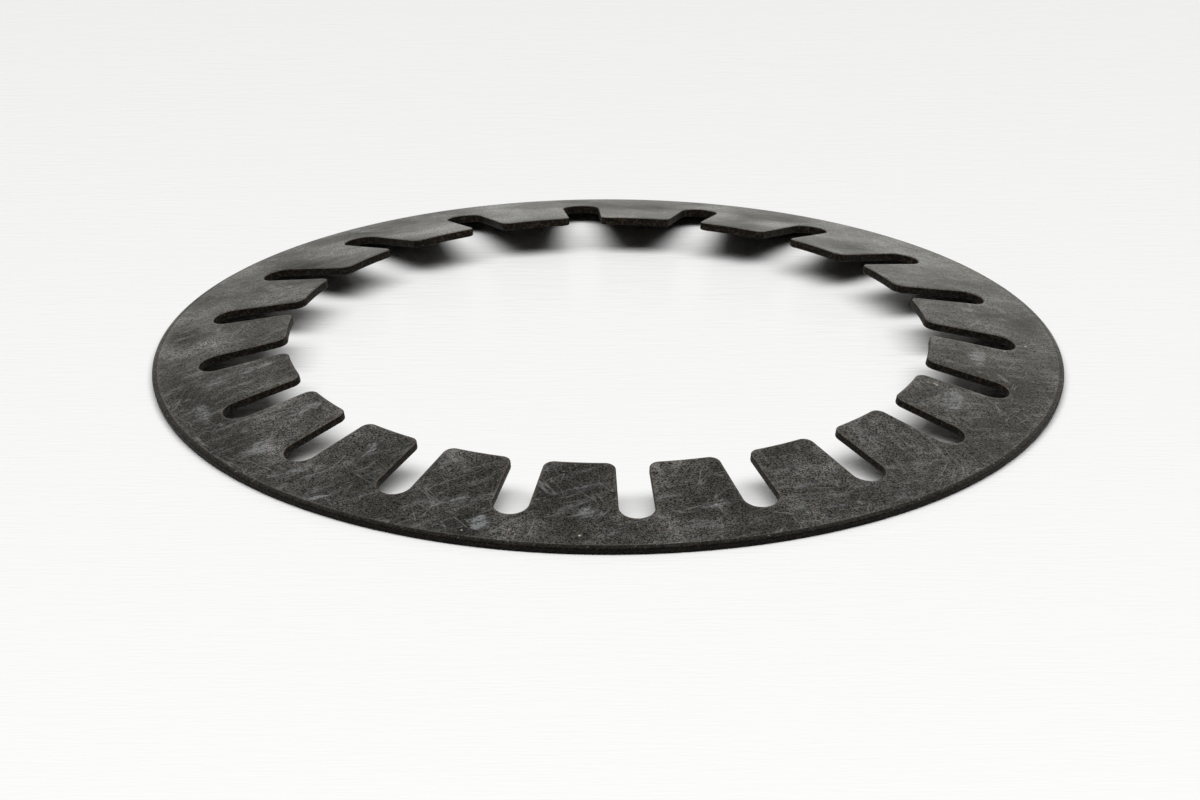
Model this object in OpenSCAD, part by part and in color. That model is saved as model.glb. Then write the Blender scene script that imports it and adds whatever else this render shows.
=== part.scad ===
// Slotted disc spring: one punched and coned piece of phosphated spring strip.
// All sizes are in millimetres. The spring lies on its outer rim at z = 0, its axis is Z,
// and the tongues rise towards the axis.

/* [Disc] */
// Outer diameter, which centres the spring in a 100 mm housing bore
outer_d = 99; // [96:0.5:104]
// Diameter that the upper edges of the tongue tips leave open
tip_d = 69.8; // [66:0.2:74]
// Thickness of the strip
strip_t = 0.85; // [0.6:0.05:1.2]
// Slope of the cone, in degrees from flat
cone_angle = 13.7; // [8:0.1:18]

/* [Tongues and slots] */
// Number of tongues, and of the slots between them
tongue_count = 20; // [16:1:22]
// Diameter that the round ends of the slots reach
slot_end_d = 88.8; // [86:0.2:91]
// Width of a slot at its round end
slot_root_w = 3.9; // [3:0.1:4.5]
// Width of a slot where it opens between two tongue tips
slot_mouth_w = 3.5; // [2.6:0.1:3.8]
// Radius of the two corners of each tongue tip
tip_corner_r = 1.15; // [0.6:0.05:1.8]

/* [Edges] */
// Width of the rolled upper edge that punching leaves round the rim
rim_roll_w = 0.5; // [0.2:0.05:0.8]
// Depth of that rolled edge where it meets the rim's side face
rim_roll_h = 0.12; // [0.04:0.01:0.2]
// Width of the rolled upper edge along the slots and across the tongue tips
slot_roll_w = 0.3; // [0.1:0.05:0.5]
// Depth of that rolled edge where it meets the walls of the slots and tips
slot_roll_h = 0.08; // [0.03:0.01:0.15]
// Radius that tumbling leaves on the lower edges
lower_edge_r = 0.12; // [0.05:0.01:0.2]

/* [Hidden] */
$fn = 72;

phosphate = [0.27, 0.27, 0.26];
arc_steps = 4;
past = 1;

outer_r = outer_d / 2;
tip_r = tip_d / 2;
tongue_pitch = 360 / tongue_count;

// A place in the strip is given by its run, along the slope from the rim towards the axis,
// and its rise, square to the upper face and negative inside the metal.
tip_run = (outer_r - tip_r) / cos(cone_angle);

// The rim rests on its rounded lower edge at z = 0, so a sharp corner there would lie this
// far below it.
corner_drop = lower_edge_r * ((1 + sin(cone_angle)) * tan(cone_angle) + cos(cone_angle) - 1);
rim_top_z = strip_t / cos(cone_angle) - corner_drop;

function in_section(run, rise) = [
    outer_r - run * cos(cone_angle) + rise * sin(cone_angle),
    rim_top_z + run * sin(cone_angle) + rise * cos(cone_angle)
];

// A rolled edge bends down from the upper face as a parabola. The share runs from 0,
// where it leaves the face, to 1 at the edge.
function rim_roll(share) =
    let (in = rim_roll_w * (1 - share))
    [outer_r - in, rim_top_z + in * tan(cone_angle) - rim_roll_h * share * share];

function tip_roll(share) =
    in_section(tip_run - slot_roll_w * (1 - share), -slot_roll_h * share * share);

function rim_lower_edge(angle) = [
    outer_r + lower_edge_r * (cos(angle) - 1),
    lower_edge_r * (sin(angle) + 1)
];

function tip_lower_edge(angle) =
    in_section(
        tip_run + lower_edge_r * (cos(angle) - 1),
        lower_edge_r * (sin(angle) + 1) - strip_t
    );

// Section of the strip, with an upright face round the rim and a tip face that is square
// to the slope.
strip_section = concat(
    [for (i = [0 : arc_steps]) rim_lower_edge(-90 - cone_angle * (1 - i / arc_steps))],
    [for (i = [1 : arc_steps]) rim_lower_edge(-90 + 90 * i / arc_steps)],
    [for (i = [0 : arc_steps]) rim_roll(1 - i / arc_steps)],
    [for (i = [0 : arc_steps]) tip_roll(i / arc_steps)],
    [for (i = [0 : arc_steps]) tip_lower_edge(-90 * i / arc_steps)]
);

module coned_strip() {
    rotate_extrude() polygon(strip_section);
}

// Where a round runs into a slot's side or a tip, the two cross at this shallow angle and
// don't just touch, so the edge between their faces has a definite place.
crossing_angle = 8;

// A slot's sides leave its round end a little inside its tangents and close in towards the
// mouth. Each starts at its nearest point to the centre of the round end.
slot_root_r = slot_root_w / 2;
slot_root_run = (outer_r - slot_end_d / 2) / cos(cone_angle) + slot_root_r;
slot_length = tip_run - slot_root_run;
mouth_half = slot_mouth_w / 2;
side_reach = slot_root_r * cos(crossing_angle);
side_angle = asin(side_reach / norm([slot_length, mouth_half]))
    - atan(mouth_half / slot_length);
side_run = slot_root_run + side_reach * sin(side_angle);
side_half = side_reach * cos(side_angle);

function slot_half(run) = side_half - (run - side_run) * tan(side_angle);

// The centre of the arc at a tongue's corner lies corner_reach inside the slot's side and
// inside the circle of the tips. That gives a quadratic for the centre's run.
corner_reach = tip_corner_r * cos(crossing_angle);
centre_half = slot_half(0) + corner_reach / cos(side_angle);
square_term = pow(cos(cone_angle), 2) + pow(tan(side_angle), 2);
linear_term = outer_r * cos(cone_angle) + centre_half * tan(side_angle);
centre_r = tip_r + corner_reach * cos(cone_angle);
plain_term = outer_r * outer_r + centre_half * centre_half - centre_r * centre_r;
corner_run = (linear_term - sqrt(linear_term * linear_term - square_term * plain_term))
    / square_term;
corner_half = centre_half - corner_run * tan(side_angle);

module both_sides() {
    children();
    mirror([0, 1, 0]) children();
}

module slot_outline() {
    open_run = tip_run + past;
    translate([slot_root_run, 0]) circle(r = slot_root_r);
    polygon([
        [slot_root_run, 0],
        [side_run, side_half],
        [open_run, slot_half(open_run)],
        [open_run, -slot_half(open_run)],
        [side_run, -side_half]
    ]);
}

// The square corner of a tongue, from which the round that stays is taken.
module corner_block() {
    translate([corner_run, corner_half - tip_corner_r - past])
        square([tip_run + past - corner_run, tip_corner_r + past]);
}

module slot_wall_cut() {
    translate([0, 0, -strip_t - past])
        linear_extrude(strip_t + 2 * past) {
            slot_outline();
            both_sides()
                difference() {
                    corner_block();
                    translate([corner_run, corner_half]) circle(r = tip_corner_r);
                }
        }
}

// The rolled edge along a slot is a shallow bevel. Its cutters start inside the slot, below
// the bevel, and end a little above the upper face.
bevel_low = -2 * slot_roll_h;
bevel_high = slot_roll_h / 2;
bevel_h = bevel_high - bevel_low;

function bevel_reach(rise) = slot_roll_w + rise * slot_roll_w / slot_roll_h;

module slot_end_bevel() {
    translate([slot_root_run, 0, bevel_low])
        cylinder(
            r1 = slot_root_r + bevel_reach(bevel_low),
            r2 = slot_root_r + bevel_reach(bevel_high),
            h = bevel_h
        );
}

module slot_side_bevel() {
    bevel_run = corner_run + tip_corner_r / 2 - slot_root_run;
    translate([side_run, side_half, 0])
        rotate([0, 0, -side_angle])
            rotate([90, 0, 90])
                linear_extrude(bevel_run)
                    polygon([
                        [-slot_root_r / 2, bevel_low],
                        [bevel_reach(bevel_low), bevel_low],
                        [bevel_reach(bevel_high), bevel_high],
                        [-slot_root_r / 2, bevel_high]
                    ]);
}

module corner_bevel() {
    difference() {
        translate([0, 0, bevel_low]) linear_extrude(bevel_h) corner_block();
        translate([corner_run, corner_half, bevel_low])
            cylinder(
                r1 = tip_corner_r - bevel_reach(bevel_low),
                r2 = tip_corner_r - bevel_reach(bevel_high),
                h = bevel_h
            );
    }
}

// Puts a cutter that is drawn in the plane of the strip at each slot.
module at_each_slot() {
    for (i = [0 : tongue_count - 1])
        rotate([0, 0, i * tongue_pitch - 90])
            translate([outer_r, 0, rim_top_z])
                rotate([0, cone_angle, 0])
                    mirror([1, 0, 0]) children();
}

module disc_spring() {
    color(phosphate)
        difference() {
            coned_strip();
            at_each_slot() slot_wall_cut();
            at_each_slot() slot_end_bevel();
            at_each_slot() both_sides() slot_side_bevel();
            at_each_slot() both_sides() corner_bevel();
        }
}

disc_spring();
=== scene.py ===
"""Looks for the slotted disc spring: its phosphated steel skin, the stage, light and camera."""

import math
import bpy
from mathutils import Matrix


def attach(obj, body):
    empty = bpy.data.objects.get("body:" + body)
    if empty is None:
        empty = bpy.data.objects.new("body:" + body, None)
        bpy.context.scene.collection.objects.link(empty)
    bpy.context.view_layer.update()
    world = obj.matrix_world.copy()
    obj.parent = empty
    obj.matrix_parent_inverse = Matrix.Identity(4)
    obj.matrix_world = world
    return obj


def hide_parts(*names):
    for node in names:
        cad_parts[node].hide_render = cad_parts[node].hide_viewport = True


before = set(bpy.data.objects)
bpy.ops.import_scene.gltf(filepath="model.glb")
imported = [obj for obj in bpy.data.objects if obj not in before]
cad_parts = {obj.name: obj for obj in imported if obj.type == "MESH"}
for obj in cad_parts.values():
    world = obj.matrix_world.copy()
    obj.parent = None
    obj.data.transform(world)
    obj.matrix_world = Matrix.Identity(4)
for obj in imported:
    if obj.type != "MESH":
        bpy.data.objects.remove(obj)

from types import SimpleNamespace

import bpy
import numpy as np
from mathutils import Matrix, Vector, geometry, noise

MM = 0.001
NODE = "disc_spring"

# --- The spring's driving dimensions, in millimetres and degrees, as in its CAD source ---
OUTER_D = 99.0
TIP_D = 69.8
STRIP_T = 0.85
CONE_ANGLE = 13.7
TONGUES = 20
SLOT_END_D = 88.8
SLOT_ROOT_W = 3.9
SLOT_MOUTH_W = 3.5
TIP_CORNER_R = 1.15
LOWER_EDGE_R = 0.12
FIRST_SLOT = -90.0

# Rolled upper edges: how far they reach in from the wall, and how deep they sink.
RIM_ROLL_W, RIM_ROLL_H = 0.4, 0.1
SLOT_ROLL_W, SLOT_ROLL_H = 0.38, 0.12

# The rim's side face leans in below by its draft and ends in a foot round with a ragged burr.
RIM_DRAFT, RIM_FOOT_R = 0.1, 0.3
BURR, BURR_REACH, BURR_WAVES = 0.16, 0.4, 40.0

# --- Mesh density, in millimetres ---
STRAIGHT_STEP = 0.45
ROUND_STEP = 0.16
RIM_STEP = 0.22
FACE_STEP = 0.95
FACE_MARGIN = 0.45
SLOT_ROLL_SEGMENTS, RIM_ROLL_SEGMENTS = 6, 7

# --- The camera, from the photograph's perspective ---
CAM_BEARING = -94.1
CAM_ELEVATION = 22.683
CAM_DISTANCE = 1150.5
CAM_ROLL = 0.044
CAM_LENS = 317.38
SENSOR_WIDTH = 36.0
CAM_TARGET = (-0.877, 0.084, -3.088)

# --- Finish: sizes of the noises (mm), depths of shade, colours, roughness and gloss ---
GRAIN, MOTTLE, CLOUD, CRUMB = 0.19, 1.1, 8.0, 0.3
GRAIN_SPAN = (0.38, 0.62)
GRAIN_LOW, GRAIN_HIGH = 0.15, 2.3
MOTTLE_DEPTH, CLOUD_DEPTH = 3.5, 6.5
FACE_WARM = (0.0178, 0.0172, 0.0142)
FACE_COOL = (0.0178, 0.0178, 0.0165)
SMUDGE = (0.17, 0.176, 0.18)
SCRATCH = (0.15, 0.15, 0.145)
SPECK = (0.5, 0.46, 0.38)
# A light line near the rim: partly wear, partly a painted highlight where the rolled edge catches the
# light.
RIM_WEAR_AND_HIGHLIGHT = (0.075, 0.068, 0.058)
EDGE_BROWN = (0.11, 0.088, 0.07)
SIDE_DARK = (0.007, 0.005, 0.004)
SIDE_OLIVE = (0.036, 0.032, 0.02)
SIDE_RED = (0.036, 0.02, 0.014)
FACE_ROUGH, SIDE_ROUGH, UNDER_ROUGH = 0.28, 0.45, 0.75
GLOSS_LOW, GLOSS_HIGH, SIDE_GLOSS, UNDER_GLOSS = 0.12, 0.9, 0.07, 0.15
STREAK_HEADING, STREAK_SIZE = 14, (4.0, 0.45)
HAZE_HEADING, HAZE_SIZE = 20, (6.0, 1.0)
HAIRLINE_WIDTH = 0.017

# The fine relief's height, and the white board and its ribs (metres).
BUMP_HEIGHT = 0.00004
RIB_HEIGHT = 0.00006
RIB_HEADING, RIB_LENGTH, RIB_GAP = -4, 0.004, 0.0005
BOARD_WHITE, BOARD_ROUGH, BOARD_GLOSS = (0.92, 0.92, 0.915), 0.15, 0.1
FLOOR_R = 3.0

# A frame's unit of height, so long that height doesn't count in it.
FAR = 1000.0

# Radii between which each band fades in, towards the rim (mm).
OUTER_SHADE_AT = (44.0, 47.0)
RIM_SPECKLE_AT = (47.9, 48.8)
# The walls' colour grows darker on the rim's side face.
RIM_SIDE_DARKER_AT = (48.0, 48.9)
RIM_WEAR_AND_HIGHLIGHT_AT = (48.7, 48.9)
# Painted shade: from here, just inside the rim's rolled edge, the face takes the walls' dark colour.
RIM_PAINTED_SHADE_AT = (48.92, 49.02)

# --- Marks on the upper face ---
# These were picked in enlarged crops of the photograph: the pixel places of a mark's
# two ends, and then its length, width and strength (mm). A mark without a length of its own
# reaches from end to end. Lengths, widths and strengths were set one by one.
PHOTO_WIDTH, PHOTO_HEIGHT = 1200, 800
PICKED_SMUDGES = {
    "front_left_patch": ((470, 526), (486, 518), 2.8, 2.8, 2.2),
    "front_haze": ((577, 512), (604, 512), 4.0, 2.4, 0.7),
    "front_right_haze": ((700, 507), (729, 500), 4.6, 2.0, 0.7),
    "front_left_band": ((410, 507), (477, 495), 8.0, 1.6, 0.6),
    "right_front_spot": ((795, 507), (803, 506), 2.4, 1.6, 0.35),
    "front_right_rim_spot": ((710, 526), (720, 526), 2.6, 1.4, 0.35),
    "right_tip_rub": ((942, 358), (954, 362), 2.0, 1.0, 0.7),
    "right_band": ((977, 345), (977, 370), 6.4, 2.8, 1.0),
    "lower_right_band": ((954, 384), (954, 415), 6.8, 3.0, 1.1),
    "upper_right_streak": ((956, 306), (990, 315), 5.0, 0.9, 0.7),
    "left_tongue_line": ((289.5, 320), (287, 335.5), 5.0, 0.7, 1.2),
    "left_root_rub": ((215, 325.5), (218, 335.5), 3.8, 1.0, 0.8),
    "left_tongue_streak": ((238, 373), (278, 360), 6.4, 1.2, 0.8),
    "lower_left_tongue_streak": ((287, 418), (323, 400), 5.6, 1.2, 1.1),
    "left_root_cloud": ((207, 389), (223, 375), 4.4, 2.6, 0.6),
    "lower_left_cloud": ((249, 450), (269, 443), 4.6, 3.8, 0.7),
    "lower_left_rim_rub": ((315, 497), (324, 496), 3.2, 1.4, 1.2),
    "left_rim_band": ((198, 404), (207, 424), 7.0, 2.2, 0.7),
    "upper_left_haze": ((346, 230), (390, 230), 7.0, 2.8, 0.7),
    "upper_left_streak": ((259, 283), (284, 292), 6.4, 1.6, 0.7),
}
PICKED_DULL_PATCHES = {
    "lower_right_tongue": ((928, 380), (928, 402), 5.0, 4.5, 1.3),
}
PICKED_SCRATCHES = {
    "front_streak": ((560, 517), (602, 511), 0.30, 0.9),
    "front_right_streak": ((675, 513), (712, 502), 0.24, 0.7),
    "front_tongue_line": ((597.5, 470), (597.5, 487), 0.16, 0.5),
    "front_root_curve": ((595, 489), (604, 504), 0.20, 0.6),
    "front_left_tongue_line": ((438, 468), (453, 493), 0.16, 0.5),
    "front_rim_line": ((529, 518), (560, 540), 0.16, 0.5),
    "front_rim_rise": ((585, 543), (604, 529), 0.16, 0.4),
    "front_right_nick": ((705, 465), (710, 468), 0.20, 0.9),
    "lower_left_fan_upright": ((255, 455.5), (252, 442), 3.2, 0.24, 1.0),
    "lower_left_fan_slant": ((269.5, 442), (274, 427), 3.2, 0.26, 1.0),
    "lower_left_long": ((294, 480), (329.5, 469), 4.2, 0.24, 0.8),
    "lower_left_long_end": ((329.5, 469), (347, 453), 3.6, 0.24, 0.8),
    "lower_left_tongue_line": ((343, 460), (398, 447), 0.16, 0.4),
    "front_left_edge_line": ((376, 487), (409.5, 451), 0.26, 0.8),
    "right_nick": ((1015, 415), (1019, 418), 0.24, 0.6),
    "upper_right_chip": ((933, 258), (941, 258), 0.5, 1.0),
}
PICKED_SPECKS = {
    "fibre": ((932, 381.6), (939, 386), 0.20, 1.0),
    "right_speck": ((1023.5, 346), (1026.5, 346), 0.34, 1.0),
    "right_speck_small": ((1041, 346), (1043, 346), 0.24, 0.7),
    "right_flake": ((1002, 350.5), (1006, 351), 0.22, 0.8),
    "front_speck": ((578, 535), (580, 535), 0.35, 0.3, 1.0),
    "front_left_speck": ((460, 529.5), (462, 529.5), 0.3, 0.26, 0.7),
    "upper_right_flake": ((984, 327), (988, 329), 0.2, 0.5),
}

# These were placed straight on the part: radius and bearing of the middle, heading,
# length, width and strength (mm and degrees).
PLACED_SMUDGES = (
    (41.6, 190.5, 12, 7.0, 1.0, 0.6),
    (45.6, 219.0, 0, 7.0, 1.4, 0.6),
    (38.6, 225.0, 48, 6.0, 1.2, 0.9),
)
PLACED_DULL_PATCHES = (
    (46.6, 168.0, 85, 12.0, 5.5, 0.9),
    (46.8, 188.0, 95, 9.0, 4.5, 0.6),
    (37.6, 208.0, 30, 5.0, 4.0, 0.5),
    (39.0, 246.0, 60, 6.0, 5.0, 0.6),
    (46.0, 303.0, 40, 9.0, 5.0, 0.5),
    (44.0, 135.0, 40, 9.0, 4.0, 0.5),
)
PLACED_SCRATCHES = (
    (42.6, 280.6, 17, 3.6, 0.20, 0.6),
    (44.6, 154.0, 60, 3.0, 0.16, 0.4),
)
HAIRLINES = (
    # heading, run and gap of each family (degrees and mm), and its noise seed
    (15, 12.0, 1.5, 11.0),
    (62, 9.0, 1.2, 12.0),
    (118, 10.0, 1.4, 13.0),
)

# --- Light: a broad softbox high on the camera's side and a dim surround (metres, degrees,
# watts) ---
KEY_BEARING = -92.0
KEY_ELEVATION = 72.0
KEY_DISTANCE = 1.2
KEY_SIZE = (2.0, 0.7)
KEY_POWER = 19.2
FILL_LIGHT = 0.04
TOP_LIGHT = 0.4
SHEEN_LIGHT = 0.45
SHEEN_COLOR = (0.98, 0.975, 0.89)
HORIZON_LIGHT = 1.0
BACKDROP_WHITE = 0.93

SLOPE = math.radians(CONE_ANGLE)
SIN, COS, TAN = math.sin(SLOPE), math.cos(SLOPE), math.tan(SLOPE)
OUTER_R = OUTER_D / 2
TIP_R = TIP_D / 2
PITCH = 2 * math.pi / TONGUES
RIM_TOP = STRIP_T / COS - LOWER_EDGE_R * ((1 + SIN) * TAN + COS - 1)


# --- Geometry of the skin ---

def slot_half_outline():
    """One half of a slot's wall line, from the middle of its round end to the middle of the
    next tip: plan points, and the plan move of each for one unit of inset into the metal.
    The slot points along +X."""
    root_r = SLOT_ROOT_W / 2
    root_run = (OUTER_R - SLOT_END_D / 2) / COS + root_r
    tip_run = (OUTER_R - TIP_R) / COS
    length = tip_run - root_run
    mouth = SLOT_MOUTH_W / 2
    side = math.asin(root_r / math.hypot(length, mouth)) - math.atan(mouth / length)

    def side_half(run):
        start = root_run + root_r * math.sin(side)
        return root_r * math.cos(side) - (run - start) * math.tan(side)

    reach_r = TIP_R + TIP_CORNER_R * COS
    centre_half = side_half(0) + TIP_CORNER_R / math.cos(side)
    a = COS * COS + math.tan(side) ** 2
    b = OUTER_R * COS + centre_half * math.tan(side)
    c = OUTER_R ** 2 + centre_half ** 2 - reach_r ** 2
    corner_run = (b - math.sqrt(b * b - a * c)) / a
    corner_half = centre_half - corner_run * math.tan(side)

    places, moves = [], []

    def add(run, half, n_run, n_half):
        places.append((OUTER_R - run * COS, half))
        moves.append((-n_run * COS, n_half))

    end = math.pi / 2 + side
    for t in steps(end * root_r, ROUND_STEP):
        turn = t * end
        add(root_run - root_r * math.cos(turn), root_r * math.sin(turn),
            -math.cos(turn), math.sin(turn))
    first = root_run + root_r * math.sin(side)
    last = corner_run - TIP_CORNER_R * math.sin(side)
    for t in steps(last - first, STRAIGHT_STEP)[1:-1]:
        run = first + t * (last - first)
        add(run, side_half(run), math.sin(side), math.cos(side))
    bearing = math.atan2(corner_half, OUTER_R - corner_run * COS)
    start, end = -math.pi / 2 - side, -bearing
    for t in steps((end - start) * TIP_CORNER_R, ROUND_STEP):
        turn = start + t * (end - start)
        add(corner_run + TIP_CORNER_R * math.cos(turn),
            corner_half + TIP_CORNER_R * math.sin(turn), -math.cos(turn), -math.sin(turn))
    for t in steps((PITCH / 2 - bearing) * TIP_R, STRAIGHT_STEP)[1:]:
        turn = bearing + t * (PITCH / 2 - bearing)
        places.append((TIP_R * math.cos(turn), TIP_R * math.sin(turn)))
        moves.append((math.cos(turn) * COS, math.sin(turn) * COS))
    return np.array(places), np.array(moves)


def steps(length, step):
    """Shares from 0 to 1 that cut a length into equal parts no longer than step."""
    return np.linspace(0, 1, max(1, math.ceil(length / step)) + 1)


def inner_outline():
    """The whole serrated wall line, once round, as plan places and inset moves."""
    places, moves = slot_half_outline()
    mirror = np.array([1, -1])
    one_places = np.vstack([(places * mirror)[::-1][:-1], places])[1:]
    one_moves = np.vstack([(moves * mirror)[::-1][:-1], moves])[1:]
    all_places, all_moves = [], []
    for k in range(TONGUES):
        turn = math.radians(FIRST_SLOT) + k * PITCH
        spin = np.array([[math.cos(turn), math.sin(turn)], [-math.sin(turn), math.cos(turn)]])
        all_places.append(one_places @ spin)
        all_moves.append(one_moves @ spin)
    return np.vstack(all_places), np.vstack(all_moves)


def on_cone(plan, rise):
    """Points in space for plan places on the upper cone, moved by rise square to it."""
    r = np.hypot(plan[:, 0], plan[:, 1])
    out = plan * ((r + rise * SIN) / r)[:, None]
    z = RIM_TOP + (OUTER_R - r) * TAN + rise * COS
    return np.column_stack([out, z])


def rolled(width, depth, count):
    """Inset and depth of points along a rolled edge, from the face to the wall."""
    turns = np.linspace(0, math.pi / 2, count + 1)
    return [(width * (1 - math.sin(t)), depth * (1 - math.cos(t))) for t in turns]


def slot_loops():
    """Rings of points over the slots' and tips' walls, from the upper to the lower face."""
    places, moves = inner_outline()
    profile = rolled(SLOT_ROLL_W, SLOT_ROLL_H, SLOT_ROLL_SEGMENTS)
    foot = STRIP_T - LOWER_EDGE_R
    profile += [(0, SLOT_ROLL_H + (foot - SLOT_ROLL_H) * t) for t in (0.34, 0.67, 1)]
    for t in (1 / 3, 2 / 3, 1):
        turn = t * math.pi / 2
        profile.append((LOWER_EDGE_R * (1 - math.cos(turn)),
                        foot + LOWER_EDGE_R * math.sin(turn)))
    return [on_cone(places + moves * inset, -depth) for inset, depth in profile], \
        [d / STRIP_T for _, d in profile], [i for i, _ in profile]


def rim_loops():
    """Rings of points over the rim's side face, from the upper to the lower face."""
    count = math.ceil(2 * math.pi * OUTER_R / RIM_STEP)
    turns = np.arange(count) * 2 * math.pi / count
    profile = [(OUTER_R - i, RIM_TOP + i * TAN - d, i)
               for i, d in rolled(RIM_ROLL_W, RIM_ROLL_H, RIM_ROLL_SEGMENTS)]
    top = RIM_TOP - RIM_ROLL_H
    foot_r = OUTER_R - RIM_DRAFT
    for t in (0.25, 0.5, 0.75, 1):
        draft = RIM_DRAFT * max(0, t - 0.25) / 0.75
        profile.append((OUTER_R - draft, top + (RIM_FOOT_R - top) * t, 0))
    low = math.radians(-90 - CONE_ANGLE)
    for t in (0.2, 0.4, 0.6, 0.8, 1):
        turn = t * low
        r = foot_r + RIM_FOOT_R * (math.cos(turn) - 1)
        profile.append((r, RIM_FOOT_R * (1 + math.sin(turn)), foot_r - r))
    ragged = np.array([max(0, noise.noise(Vector((math.cos(t), math.sin(t), 0)) * BURR_WAVES))
                       for t in turns])
    rings = [np.column_stack([r * np.cos(turns), r * np.sin(turns),
                              z + BURR * ragged * max(0, 1 - z / BURR_REACH)])
             for r, z, _ in profile]
    heights = [min(1, max(0, (RIM_TOP - z) / RIM_TOP)) for _, z, _ in profile]
    return rings, heights, [i for _, _, i in profile]


def face_places(outer, inner):
    """Plan places spread evenly between an outer ring and the serrated inner ring."""
    r_in = np.hypot(inner[:, 0], inner[:, 1]).min()
    r_out = np.hypot(outer[:, 0], outer[:, 1]).min()
    found = []
    rings = int((r_out - r_in) / FACE_STEP)
    for k in range(1, rings + 1):
        r = r_out - k * (r_out - r_in) / (rings + 0.5)
        count = TONGUES * round(2 * math.pi * r / FACE_STEP / TONGUES)
        turns = (np.arange(count) + 0.5 * (k % 2)) * 2 * math.pi / count
        found.append(np.column_stack([r * np.cos(turns), r * np.sin(turns)]))
    found = np.vstack(found)
    gap = np.array([np.min(np.hypot(*(inner - p).T)) for p in found])
    return found[(gap > FACE_MARGIN) & in_metal(found, inner)]


def in_metal(points, loop):
    """Which plan points lie outside the serrated opening."""
    nxt = np.roll(loop, -1, axis=0)
    crossed = np.zeros(len(points), int)
    for a, b in zip(loop, nxt):
        span = (a[1] > points[:, 1]) != (b[1] > points[:, 1])
        if span.any():
            at = a[0] + (points[:, 1] - a[1]) / (b[1] - a[1] + 1e-12) * (b[0] - a[0])
            crossed += span & (points[:, 0] < at)
    return crossed % 2 == 0


def fill_face(outer, inner):
    """Triangles between two rings: plan points (the rings' own first) and their faces."""
    spread = face_places(outer, inner)
    points = np.vstack([outer, inner, spread])
    edges = ring_edges(0, len(outer)) + ring_edges(len(outer), len(inner))
    found = geometry.delaunay_2d_cdt([Vector(p) for p in points], edges, [], 1, 1e-7, True)
    sources = np.array([s[0] for s in found[3]])
    tris = sources[np.array(found[2])]
    kept = tris[in_metal(points[tris].mean(axis=1), inner)]
    return spread, kept.tolist()


def ring_edges(first, count):
    return [(first + i, first + (i + 1) % count) for i in range(count)]


def bridge(first, second, count, flip):
    """Quads between two rings of points with the same count."""
    quads = []
    for i in range(count):
        j = (i + 1) % count
        quad = (first + i, first + j, second + j, second + i)
        quads.append(quad[::-1] if flip else quad)
    return quads


def build_skin():
    """The spring as one closed mesh, in metres, with what its material needs to know."""
    points, faces, walls, insets = [], [], [], []

    def add(ring, wall, inset):
        first = sum(len(p) for p in points)
        points.append(ring)
        walls.append(np.full(len(ring), wall))
        insets.append(np.full(len(ring), inset))
        return first

    slot_rings, slot_walls, slot_insets = slot_loops()
    rim_rings, rim_walls, rim_insets = rim_loops()
    slot_first = [add(*x) for x in zip(slot_rings, slot_walls, slot_insets)]
    rim_first = [add(*x) for x in zip(rim_rings, rim_walls, rim_insets)]
    slot_n, rim_n = len(slot_rings[0]), len(rim_rings[0])
    for first, count, flip in ((slot_first, slot_n, False), (rim_first, rim_n, True)):
        for a, b in zip(first, first[1:]):
            faces += bridge(a, b, count, flip)

    for k, rise in ((0, 0), (-1, -STRIP_T)):
        outer, inner = rim_rings[k][:, :2], slot_rings[k][:, :2]
        spread, tris = fill_face(outer, inner)
        r = np.hypot(spread[:, 0], spread[:, 1])
        z = RIM_TOP + (OUTER_R - r) * TAN + rise / COS
        first = add(np.column_stack([spread, z]), 0 if k == 0 else 1, 2)
        index = list(range(rim_first[k], rim_first[k] + rim_n))
        index += list(range(slot_first[k], slot_first[k] + slot_n))
        index += list(range(first, first + len(spread)))
        for tri in tris:
            tri = tuple(index[i] for i in tri)
            faces.append(tri if k == 0 else tri[::-1])

    mesh = bpy.data.meshes.new("disc_spring_skin")
    mesh.from_pydata((np.vstack(points) * MM).tolist(), [], faces)
    for name, values in (("wall", walls), ("inset", insets)):
        layer = mesh.attributes.new(name, "FLOAT", "POINT")
        layer.data.foreach_set("value", np.concatenate(values).astype(np.float32))
    mesh.shade_smooth()
    mesh.validate()
    mesh.update()
    return mesh


# --- Materials ---

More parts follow.
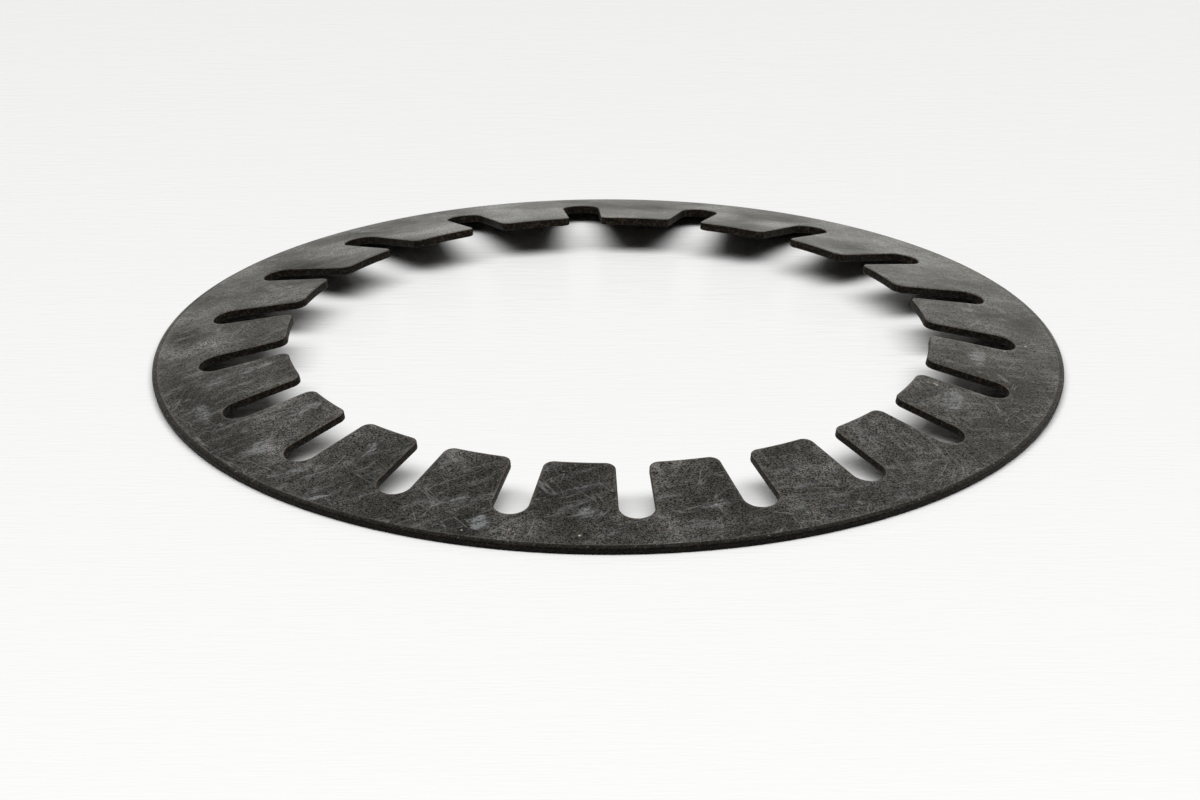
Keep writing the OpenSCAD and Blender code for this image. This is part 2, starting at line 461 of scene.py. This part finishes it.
class Net:
    """Short names for the shader nodes that the materials and the world are built from."""

    def __init__(self, tree):
        self.tree = tree

    def link(self, source, target):
        self.tree.links.new(source, target)

    def put(self, value, socket):
        if isinstance(value, bpy.types.NodeSocket):
            self.link(value, socket)
        else:
            socket.default_value = value

    def math(self, operation, *values):
        node = self.tree.nodes.new("ShaderNodeMath")
        node.operation = operation
        for value, socket in zip(values, node.inputs):
            self.put(value, socket)
        return node.outputs[0]

    def add(self, a, b):
        return self.math("ADD", a, b)

    def times(self, a, b):
        return self.math("MULTIPLY", a, b)

    def fade(self, value, low, high, start=0.0, end=1.0):
        """A smooth step: start below low, end above high."""
        node = self.tree.nodes.new("ShaderNodeMapRange")
        node.interpolation_type = "SMOOTHSTEP"
        for x, socket in zip((value, low, high, start, end), node.inputs):
            self.put(x, socket)
        return node.outputs[0]

    def mix(self, a, b, share):
        node = self.tree.nodes.new("ShaderNodeMix")
        self.put(share, node.inputs[0])
        self.put(a, node.inputs[2])
        self.put(b, node.inputs[3])
        return node.outputs[0]

    def blend(self, a, b, share, blend_type="MIX"):
        """Two colours mixed."""
        node = self.tree.nodes.new("ShaderNodeMix")
        node.data_type = "RGBA"
        node.blend_type = blend_type
        self.put(share, node.inputs[0])
        for color, socket in ((a, node.inputs[6]), (b, node.inputs[7])):
            self.put(color if isinstance(color, bpy.types.NodeSocket) else (*color, 1), socket)
        return node.outputs[2]

    def noise(self, place, size, detail=2.0, seed=0.0, rough=0.5):
        """Cloudy noise whose lumps are about size long, as a value and a colour."""
        node = self.tree.nodes.new("ShaderNodeTexNoise")
        self.put(self.vector("ADD", place, (seed * 17.3, seed * 31.7, seed * 5.9)),
                 node.inputs["Vector"])
        for name, value in (("Scale", 1 / size), ("Detail", detail), ("Roughness", rough)):
            self.put(value, node.inputs[name])
        return node.outputs["Fac"], node.outputs["Color"]

    def around(self, value, size):
        """A value between 0 and 1 moved to lie around 0 and scaled to size."""
        return self.times(self.math("SUBTRACT", value, 0.5), size)

    def frame(self, place, centre, heading, lengths):
        """Places measured from a centre along a heading, in units of lengths."""
        node = self.tree.nodes.new("ShaderNodeMapping")
        node.vector_type = "TEXTURE"
        self.put(place, node.inputs["Vector"])
        node.inputs["Location"].default_value = (*centre, 0)
        node.inputs["Rotation"].default_value = (0, 0, heading)
        node.inputs["Scale"].default_value = (*lengths, FAR)
        return node.outputs[0]

    def length(self, vector):
        node = self.tree.nodes.new("ShaderNodeVectorMath")
        node.operation = "LENGTH"
        self.link(vector, node.inputs[0])
        return node.outputs["Value"]

    def vector(self, operation, a, b):
        node = self.tree.nodes.new("ShaderNodeVectorMath")
        node.operation = operation
        self.put(a, node.inputs[0])
        self.put(b, node.inputs[1])
        return node.outputs[0]

    def scale(self, vector, factor):
        node = self.tree.nodes.new("ShaderNodeVectorMath")
        node.operation = "SCALE"
        self.put(vector, node.inputs[0])
        self.put(factor, node.inputs["Scale"])
        return node.outputs[0]

    def attribute(self, name):
        node = self.tree.nodes.new("ShaderNodeAttribute")
        node.attribute_name = name
        return node.outputs["Fac"]

    def coordinate(self, kind):
        return self.tree.nodes.new("ShaderNodeTexCoord").outputs[kind]

    def split(self, vector):
        node = self.tree.nodes.new("ShaderNodeSeparateXYZ")
        self.link(vector, node.inputs[0])
        return node.outputs


def new_material(name):
    mat = bpy.data.materials.new(name)
    mat.use_nodes = True
    return mat, Net(mat.node_tree), mat.node_tree.nodes["Principled BSDF"].inputs


def on_face(pixel):
    """Where the camera sees a pixel place of the photograph on the upper cone, in plan."""
    right, up, back = camera_axes()
    focal = CAM_LENS / SENSOR_WIDTH * PHOTO_WIDTH
    across = (pixel[0] + 0.5 - PHOTO_WIDTH / 2) / focal
    down = (pixel[1] + 0.5 - PHOTO_HEIGHT / 2) / focal
    way = across * right - down * up - back
    eye = Vector(CAM_TARGET) + CAM_DISTANCE * back
    apex = RIM_TOP + OUTER_R * TAN - eye.z
    # The ray is on the cone where bend * reach² + 2 * lean * reach + gap is nought.
    bend = way.xy.length_squared - (way.z / TAN) ** 2
    lean = eye.xy.dot(way.xy) + apex * way.z / TAN ** 2
    gap = eye.xy.length_squared - (apex / TAN) ** 2
    reach = (-lean - math.sqrt(lean * lean - bend * gap)) / bend
    return (eye + reach * way).xy


def picked(listed):
    """Middle, heading, length, width and strength of marks picked in the photograph."""
    for first, last, *rest in listed.values():
        first, last = on_face(first), on_face(last)
        run = last - first
        if len(rest) == 2:
            rest = (run.length, *rest)
        yield (first + last) / 2, math.atan2(run.y, run.x), *rest


def placed(listed):
    """The same of marks placed on the part."""
    for radius, bearing, heading, *rest in listed:
        turn = math.radians(bearing)
        yield Vector((math.cos(turn), math.sin(turn))) * radius, math.radians(heading), *rest


def marks(net, place, listed, soft):
    """Where the listed marks lie, from 0 to 1; soft is the share of each that fades out."""
    total = 0.0
    for centre, heading, length, width, strength in listed:
        local = net.frame(place, centre, heading, (length / 2, width / 2))
        found = net.fade(net.length(local), 1 - soft, 1, strength, 0)
        total = net.math("MAXIMUM", total, found)
    return total


def hairlines(net, place, heading, run, gap, seed):
    """Fine scratches that run about one way: thin lines along the level curves of a noise."""
    local = net.frame(place, (0, 0), math.radians(heading), (run, gap))
    value, _ = net.noise(local, 1.0, 1.0, seed)
    level = net.math("ABSOLUTE", net.math("SUBTRACT", value, 0.5))
    line = net.fade(level, 0.0, HAIRLINE_WIDTH, 1, 0)
    gaps, _ = net.noise(place, 5.0, 2.0, seed + 3)
    return net.times(line, net.fade(gaps, 0.5, 0.62))


def wavy(net, place, size, detail, seed, reach):
    """Places moved sideways by a noise, which gives marks uneven outlines."""
    shift = net.vector("SUBTRACT", net.noise(place, size, detail, seed)[1], (0.5, 0.5, 0.5))
    return net.vector("ADD", place, net.vector("MULTIPLY", shift, (reach, reach, 0.0)))


def steel_fields(net):
    """What the steel's marks, colours, gloss and relief share: places, masks and noises."""
    base = SimpleNamespace()
    base.place = net.scale(net.coordinate("Object"), 1 / MM)
    base.x, y, _ = net.split(base.place)
    base.radius = net.math("SQRT", net.add(net.times(base.x, base.x), net.times(y, y)))
    wall, base.inset = net.attribute("wall"), net.attribute("inset")
    base.below = net.times(net.fade(wall, 0.9, 1.0), net.fade(base.inset, 0.1, 0.3))
    base.above = net.math("SUBTRACT", 1.0, base.below)
    base.side = net.times(net.fade(wall, 0.03, 0.1), base.above)
    # Painted shade: a band just inside the rim's rolled edge takes the walls' dark colour.
    rim = net.times(net.fade(base.radius, *RIM_PAINTED_SHADE_AT), base.above)
    base.dark = net.math("MAXIMUM", base.side, rim)
    base.grain, base.grain_tint = net.noise(base.place, GRAIN, 1.5, 1.0, 0.7)
    base.mottle, _ = net.noise(base.place, MOTTLE, 3.0, 2.0, 0.6)
    base.cloud, _ = net.noise(base.place, CLOUD, 3.0, 3.0)
    base.crumb, _ = net.noise(base.place, CRUMB, 2.0, 4.0, 0.7)
    return base


def steel_marks(net, base):
    """Masks of the dull patches, smudges, scratches and bright specks."""
    uneven = wavy(net, base.place, 1.2, 2.0, 6.0, 1.8)
    bent = wavy(net, base.place, 3.0, 1.0, 7.0, 0.8)
    along = net.frame(base.place, (0, 0), math.radians(STREAK_HEADING), STREAK_SIZE)
    streak, _ = net.noise(along, 1.0, 2.0, 9.0)
    wide = net.frame(base.place, (0, 0), math.radians(HAZE_HEADING), HAZE_SIZE)
    haze, _ = net.noise(wide, 1.0, 3.0, 8.0)
    powder = net.fade(net.add(base.crumb, net.around(base.mottle, 0.6)), 0.35, 0.65, 0.1)
    powder = net.times(powder, net.fade(streak, 0.38, 0.58, 0.35, 1.6))

    wear = SimpleNamespace()
    patches = [*picked(PICKED_DULL_PATCHES), *placed(PLACED_DULL_PATCHES)]
    wear.dull = marks(net, uneven, patches, 0.9)
    rubs = marks(net, uneven, [*picked(PICKED_SMUDGES), *placed(PLACED_SMUDGES)], 0.7)
    rubs = net.times(net.times(rubs, powder), base.above)
    haze = net.times(net.fade(haze, 0.5, 0.7, 0, 0.35), powder)
    wear.smudge = net.math("MAXIMUM", rubs, haze)
    lines = marks(net, bent, [*picked(PICKED_SCRATCHES), *placed(PLACED_SCRATCHES)], 0.8)
    wear.scratch = net.times(lines, base.above)
    for family in HAIRLINES:
        found = net.times(hairlines(net, base.place, *family), 0.8)
        wear.scratch = net.math("MAXIMUM", wear.scratch, found)
    wear.scratch = net.times(wear.scratch, net.fade(base.crumb, 0.3, 0.55, 0.35, 1.0))
    dust = net.fade(net.noise(base.place, 0.3, 0.0, 14.0)[0], 0.79, 0.84)
    specks = net.times(marks(net, base.place, picked(PICKED_SPECKS), 0.5), base.above)
    wear.speck = net.math("MAXIMUM", specks, net.times(dust, 0.25))
    return wear


def face_color(net, base, wear):
    """The grey of the upper face, with its grain, clouds, marks, worn edges, and a light line near the
    rim that is partly wear, partly painted highlight.
    """
    shade = net.math("EXPONENT", net.add(net.around(base.mottle, MOTTLE_DEPTH),
                                         net.around(base.cloud, CLOUD_DEPTH)))
    level = net.times(shade, net.fade(base.grain, *GRAIN_SPAN, GRAIN_LOW, GRAIN_HIGH))
    level = net.times(level, net.math("SUBTRACT", 1.0, net.times(wear.dull, 0.35)))
    level = net.times(level, net.fade(base.radius, *OUTER_SHADE_AT, 1.0, 0.85))
    tint = net.blend((0.5, 0.5, 0.5), base.grain_tint, 0.6)
    grey = net.blend(FACE_WARM, FACE_COOL, net.fade(base.cloud, 0.4, 0.62))
    face = net.scale(net.blend(grey, tint, 1.0, "MULTIPLY"), net.times(level, 2.0))

    speckle = net.times(net.fade(base.radius, *RIM_SPECKLE_AT), net.fade(base.crumb, 0.4, 0.62))
    worn = net.times(net.fade(base.inset, 0.02, 0.45, 1.0, 0.0), net.fade(base.crumb, 0.35, 0.6, 0.3))
    # A light line near the rim's edge: partly wear, partly a painted highlight of the rolled edge.
    line = net.times(net.fade(base.radius, *RIM_WEAR_AND_HIGHLIGHT_AT), net.fade(base.crumb, 0.4, 0.62, 0.1))
    face = net.blend(face, SMUDGE, wear.smudge)
    face = net.blend(face, SMUDGE, net.times(speckle, 0.07))
    face = net.blend(face, EDGE_BROWN, net.times(worn, 0.7))
    face = net.blend(face, RIM_WEAR_AND_HIGHLIGHT, line)
    return net.blend(face, SCRATCH, wear.scratch)


def side_color(net, base):
    """The near black of the punched walls, speckled olive and red-brown."""
    rust = net.blend(SIDE_DARK, SIDE_OLIVE, net.fade(base.crumb, 0.5, 0.68))
    red = net.fade(net.noise(base.place, 0.45, 2.0, 15.0)[0], 0.58, 0.7)
    rust = net.blend(rust, SIDE_RED, red)
    return net.scale(rust, net.fade(base.radius, *RIM_SIDE_DARKER_AT, 1.0, 0.55))


def steel_material():
    mat, net, bsdf = new_material("phosphated_spring_steel")
    base = steel_fields(net)
    wear = steel_marks(net, base)
    color = net.blend(face_color(net, base, wear), side_color(net, base), base.dark)
    color = net.blend(color, SPECK, net.times(wear.speck, net.math("SUBTRACT", 1.0, base.side)))
    net.link(color, bsdf["Base Color"])

    rough = net.add(net.add(FACE_ROUGH, net.around(base.cloud, -0.6)), net.around(base.grain, 0.4))
    rough = net.add(rough, net.add(net.times(wear.dull, 0.2), net.fade(base.x, -45.0, 35.0, 0.1, 0.0)))
    rough = net.mix(net.mix(rough, SIDE_ROUGH, base.side), UNDER_ROUGH, base.below)
    net.link(rough, bsdf["Roughness"])
    gloss = net.fade(base.grain, *GRAIN_SPAN, GLOSS_LOW, GLOSS_HIGH)
    matt = net.math("MAXIMUM", base.side, net.times(base.dark, 0.5))
    gloss = net.mix(net.mix(gloss, SIDE_GLOSS, matt), UNDER_GLOSS, base.below)
    net.link(gloss, bsdf["Specular IOR Level"])
    net.link(net.blend((1, 1, 1), net.scale(base.grain_tint, 2.0), 0.3), bsdf["Specular Tint"])

    height = net.add(net.around(base.grain, 1.0), net.times(net.around(base.mottle, 1.0), 2.0))
    height = net.add(height, net.times(net.times(base.side, base.crumb), 6.0))
    height = net.add(height, net.times(wear.scratch, -0.5))
    add_relief(net, bsdf, height, BUMP_HEIGHT)
    return mat


def add_relief(net, bsdf, height, distance):
    """Fine relief from a height field, in which a height of 1 stands for distance (metres)."""
    bump = net.tree.nodes.new("ShaderNodeBump")
    net.link(height, bump.inputs["Height"])
    bump.inputs["Strength"].default_value = 1.0
    bump.inputs["Distance"].default_value = distance
    net.link(bump.outputs[0], bsdf["Normal"])


def board_material():
    """A plain white coated board with faint ribs across the view."""
    mat, net, bsdf = new_material("white_board")
    bsdf["Base Color"].default_value = (*BOARD_WHITE, 1)
    bsdf["Roughness"].default_value = BOARD_ROUGH
    bsdf["Specular IOR Level"].default_value = BOARD_GLOSS
    local = net.frame(net.coordinate("Object"), (0, 0), math.radians(RIB_HEADING),
                      (RIB_LENGTH, RIB_GAP))
    ribs, _ = net.noise(local, 1.0, 2.0, 5.0)
    add_relief(net, bsdf, ribs, RIB_HEIGHT)
    return mat


# --- Stage, light and camera ---

def make_floor():
    bpy.ops.mesh.primitive_circle_add(vertices=96, radius=FLOOR_R, fill_type="NGON")
    floor = bpy.context.object
    floor.name = "floor"
    floor.data.materials.append(board_material())


def make_world():
    """A surround that each kind of ray sees in its own way. Camera rays see an even near-white.
    Glossy rays see a faintly warm sheen that grows away from the camera and to the right, and
    a bright horizon behind the spring. All other light is dim, strongest from above, and none
    comes from low on the camera's side."""
    world = bpy.data.worlds.new("soft_studio")
    bpy.context.scene.world = world
    world.use_nodes = True
    net = Net(world.node_tree)
    back = world.node_tree.nodes["Background"]
    way = net.split(net.coordinate("Generated"))
    above = net.add(way["Y"], net.times(way["Z"], 0.6))
    sheen = net.fade(above, -0.5, 0.6, 0.0, SHEEN_LIGHT)
    sheen = net.times(sheen, net.add(net.times(way["X"], 0.25), 1.0))
    low = net.fade(way["Z"], 0.0, 0.35, 1.0, 0.0)
    behind = net.fade(net.add(way["Y"], net.times(way["X"], 0.12)), -0.2, 0.6, 0.0, 1.0)
    seen = net.mix(sheen, HORIZON_LIGHT, net.times(low, behind))
    lit = net.fade(way["Z"], 0.45, 0.75, FILL_LIGHT, TOP_LIGHT)
    lit = net.times(lit, net.fade(way["Y"], -0.6, 0.2))
    path = world.node_tree.nodes.new("ShaderNodeLightPath")
    shown = net.mix(lit, seen, path.outputs["Is Glossy Ray"])
    shown = net.mix(shown, BACKDROP_WHITE, path.outputs["Is Camera Ray"])
    net.link(shown, back.inputs["Strength"])
    tint = net.blend((1, 1, 1), SHEEN_COLOR, path.outputs["Is Glossy Ray"])
    net.link(tint, back.inputs["Color"])


def make_key_light():
    way = towards(KEY_BEARING, KEY_ELEVATION)
    data = bpy.data.lights.new("key_softbox", "AREA")
    data.shape = "RECTANGLE"
    data.size, data.size_y = KEY_SIZE
    data.energy = KEY_POWER
    light = bpy.data.objects.new("key_softbox", data)
    light.location = way * KEY_DISTANCE
    light.visible_glossy = False
    light.rotation_mode = "QUATERNION"
    light.rotation_quaternion = way.to_track_quat("Z", "Y")
    bpy.context.scene.collection.objects.link(light)


def towards(bearing, elevation):
    """The way to a bearing and an elevation in degrees, as a unit vector."""
    bearing, lift = math.radians(bearing), math.radians(elevation)
    return Vector((math.cos(bearing) * math.cos(lift), math.sin(bearing) * math.cos(lift),
                   math.sin(lift)))


def camera_axes():
    """The camera's ways to the right, up and back."""
    back = towards(CAM_BEARING, CAM_ELEVATION)
    right = (-back).cross(Vector((0, 0, 1))).normalized()
    up = right.cross(-back)
    roll = math.radians(CAM_ROLL)
    return (math.cos(roll) * right + math.sin(roll) * up,
            math.cos(roll) * up - math.sin(roll) * right, back)


def make_camera():
    right, up, back = camera_axes()
    data = bpy.data.cameras.new("camera")
    data.lens, data.sensor_width = CAM_LENS, SENSOR_WIDTH
    data.clip_start, data.clip_end = 0.01, 20
    camera = bpy.data.objects.new("camera", data)
    bpy.context.scene.collection.objects.link(camera)
    place = (Vector(CAM_TARGET) + CAM_DISTANCE * back) * MM
    turn = Matrix((right, up, back)).transposed().to_4x4()
    camera.matrix_world = Matrix.Translation(place) @ turn
    bpy.context.scene.camera = camera


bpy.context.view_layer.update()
bpy.context.scene.view_settings.view_transform = "Standard"
make_camera()
make_world()
make_key_light()
make_floor()

spring = bpy.data.objects.new("disc_spring_skin", build_skin())
bpy.context.scene.collection.objects.link(spring)
spring.data.materials.append(steel_material())
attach(spring, "root")
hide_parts(NODE)

print("triangles", sum(len(p.vertices) - 2 for p in spring.data.polygons))
